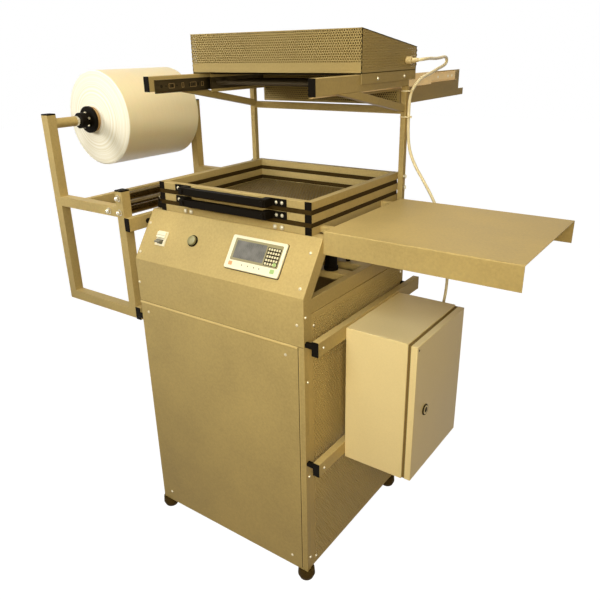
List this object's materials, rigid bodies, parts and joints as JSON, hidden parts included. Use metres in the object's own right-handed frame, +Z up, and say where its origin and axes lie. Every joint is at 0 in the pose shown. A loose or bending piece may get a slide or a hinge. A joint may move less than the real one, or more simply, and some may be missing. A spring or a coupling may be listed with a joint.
{
  "type": "vacuum skin packaging machine",
  "caption": "Floor-standing skin packer with hinged film frames, sliding infrared heater hood, vacuum table, film roll stand, side table and control box",
  "frame": {"origin": "middle of the whole footprint, on the floor", "axes": "+X to the operator's right, +Y to the rear, +Z up"},
  "size_m": [1.5919, 1.057, 1.5],
  "materials": {
    "frame_paint": "fine-textured olive-beige powder coat",
    "box_paint": "fine-textured cream powder coat",
    "zinc_steel": "bright zinc plating",
    "slide_steel": "zinc-plated rolled steel",
    "bright_steel": "polished",
    "table_steel": "perforated, matt",
    "reflector_sheet": "polished reflector",
    "element_glass": "quartz tubes",
    "black_plastic": "moulded",
    "black_rubber": "matt",
    "foot_rubber": "matt",
    "white_plastic": "moulded",
    "lever_plastic": "moulded",
    "button_plastic": "moulded",
    "film_white": "wound film",
    "core_board": "wound board",
    "pump_iron": "painted",
    "cable_white": "sheathed cable"
  },
  "bodies": {
    "cabinet": {"leveling_feet": "foot_rubber", "cabinet_posts": "frame_paint", "cabinet_rails": "frame_paint", "cabinet_floor": "frame_paint", "front_panels": "frame_paint", "cabinet_panels": "frame_paint", "console_cover": "frame_paint", "hmi_panel": "white_plastic", "button_collar": "black_plastic", "breaker_body": "white_plastic", "base_film_frame": "frame_paint", "base_gasket": "black_rubber", "frame_hinge_bolts": "zinc_steel", "frame_switch": "black_plastic", "vacuum_plate": "table_steel", "vacuum_box": "frame_paint", "table_columns": "black_plastic", "vacuum_hose": "black_rubber", "vacuum_pump": "pump_iron", "heater_stand": "frame_paint", "heater_beams": "frame_paint", "slide_outer_members": "slide_steel", "left_mount_rails": "frame_paint", "right_mount_rails": "frame_paint", "rail_spacers": "black_plastic", "tube_end_caps": "black_plastic", "roll_arm_front": "frame_paint", "roll_arm_rear": "frame_paint", "roll_tie_rail": "frame_paint", "roller_shafts": "bright_steel", "electric_box_body": "box_paint", "box_gasket": "black_rubber", "control_gear": "white_plastic", "box_gland": "white_plastic", "side_table": "frame_paint", "side_table_brackets": "frame_paint", "heater_cable": "cable_white"},
    "ball_cages": {"slide_ball_cages": "zinc_steel"},
    "heater_carriage": {"slide_inner_members": "slide_steel", "carriage_tray": "frame_paint", "heater_hood": "frame_paint", "heater_reflector": "reflector_sheet", "infrared_elements": "element_glass", "heater_gland": "white_plastic"},
    "middle_frame": {"middle_film_frame": "frame_paint", "middle_gasket": "black_rubber", "middle_handle": "black_plastic"},
    "upper_frame": {"upper_film_frame": "frame_paint", "upper_handle": "black_plastic"},
    "film_reel": {"film_roll": "film_white", "roll_core": "core_board", "roll_chucks": "black_plastic", "roll_shaft": "bright_steel"},
    "upper_roller": {"guide_roller_upper": "frame_paint"},
    "inner_roller": {"guide_roller_inner": "frame_paint"},
    "outer_roller": {"guide_roller_outer": "frame_paint"},
    "box_door": {"electric_box_door": "box_paint"},
    "lock": {"door_lock": "zinc_steel"},
    "push_button": {"button_cap": "button_plastic"},
    "breaker_toggle": {"breaker_lever": "lever_plastic"}
  },
  "joints": [
    {"name": "heater_slide", "type": "slide", "parent": "cabinet", "child": "heater_carriage", "axis": [0, 1, 0], "range_m": [-0.215, 0.235]},
    {"name": "cage_slide", "type": "slide", "parent": "cabinet", "child": "ball_cages", "axis": [0, 1, 0], "range_m": [-0.1075, 0.1175]},
    {"name": "middle_frame_hinge", "type": "hinge", "parent": "cabinet", "child": "middle_frame", "pos_m": [0.014, 0.0235, 1.068], "axis": [-1, 0, 0], "range_deg": [0, 12]},
    {"name": "upper_frame_hinge", "type": "hinge", "parent": "middle_frame", "child": "upper_frame", "pos_m": [0.014, 0.0235, 1.1], "axis": [-1, 0, 0], "range_deg": [0, 15]},
    {"name": "film_reel_spin", "type": "hinge", "parent": "cabinet", "child": "film_reel", "pos_m": [-0.647, -0.156, 1.256], "axis": [0, 1, 0], "continuous": true},
    {"name": "upper_roller_spin", "type": "hinge", "parent": "cabinet", "child": "upper_roller", "pos_m": [-0.346, -0.1825, 1.063], "axis": [0, 1, 0], "continuous": true},
    {"name": "inner_roller_spin", "type": "hinge", "parent": "cabinet", "child": "inner_roller", "pos_m": [-0.346, -0.1825, 1.021], "axis": [0, 1, 0], "continuous": true},
    {"name": "outer_roller_spin", "type": "hinge", "parent": "cabinet", "child": "outer_roller", "pos_m": [-0.394, -0.1825, 1.021], "axis": [0, 1, 0], "continuous": true},
    {"name": "box_door_hinge", "type": "hinge", "parent": "cabinet", "child": "box_door", "pos_m": [0.544, -0.0945, 0.585], "axis": [0, 0, 1], "range_deg": [0, 120]},
    {"name": "door_lock_turn", "type": "hinge", "parent": "box_door", "child": "lock", "pos_m": [0.561, -0.3315, 0.575], "axis": [1, 0, 0], "range_deg": [0, 90]},
    {"name": "button_press", "type": "slide", "parent": "cabinet", "child": "push_button", "axis": [0, 0.8281, -0.5606], "range_m": [0, 0.004], "stiffness_N_per_m": 800, "springref_m": -0.002},
    {"name": "breaker_switch", "type": "hinge", "parent": "cabinet", "child": "breaker_toggle", "pos_m": [-0.208, -0.49608, 0.95404], "axis": [1, 0, 0], "range_deg": [-70, 0]}
  ],
  "couplings": [
    {"joint": "cage_slide", "follows": "heater_slide", "ratio": 0.5}
  ]
}
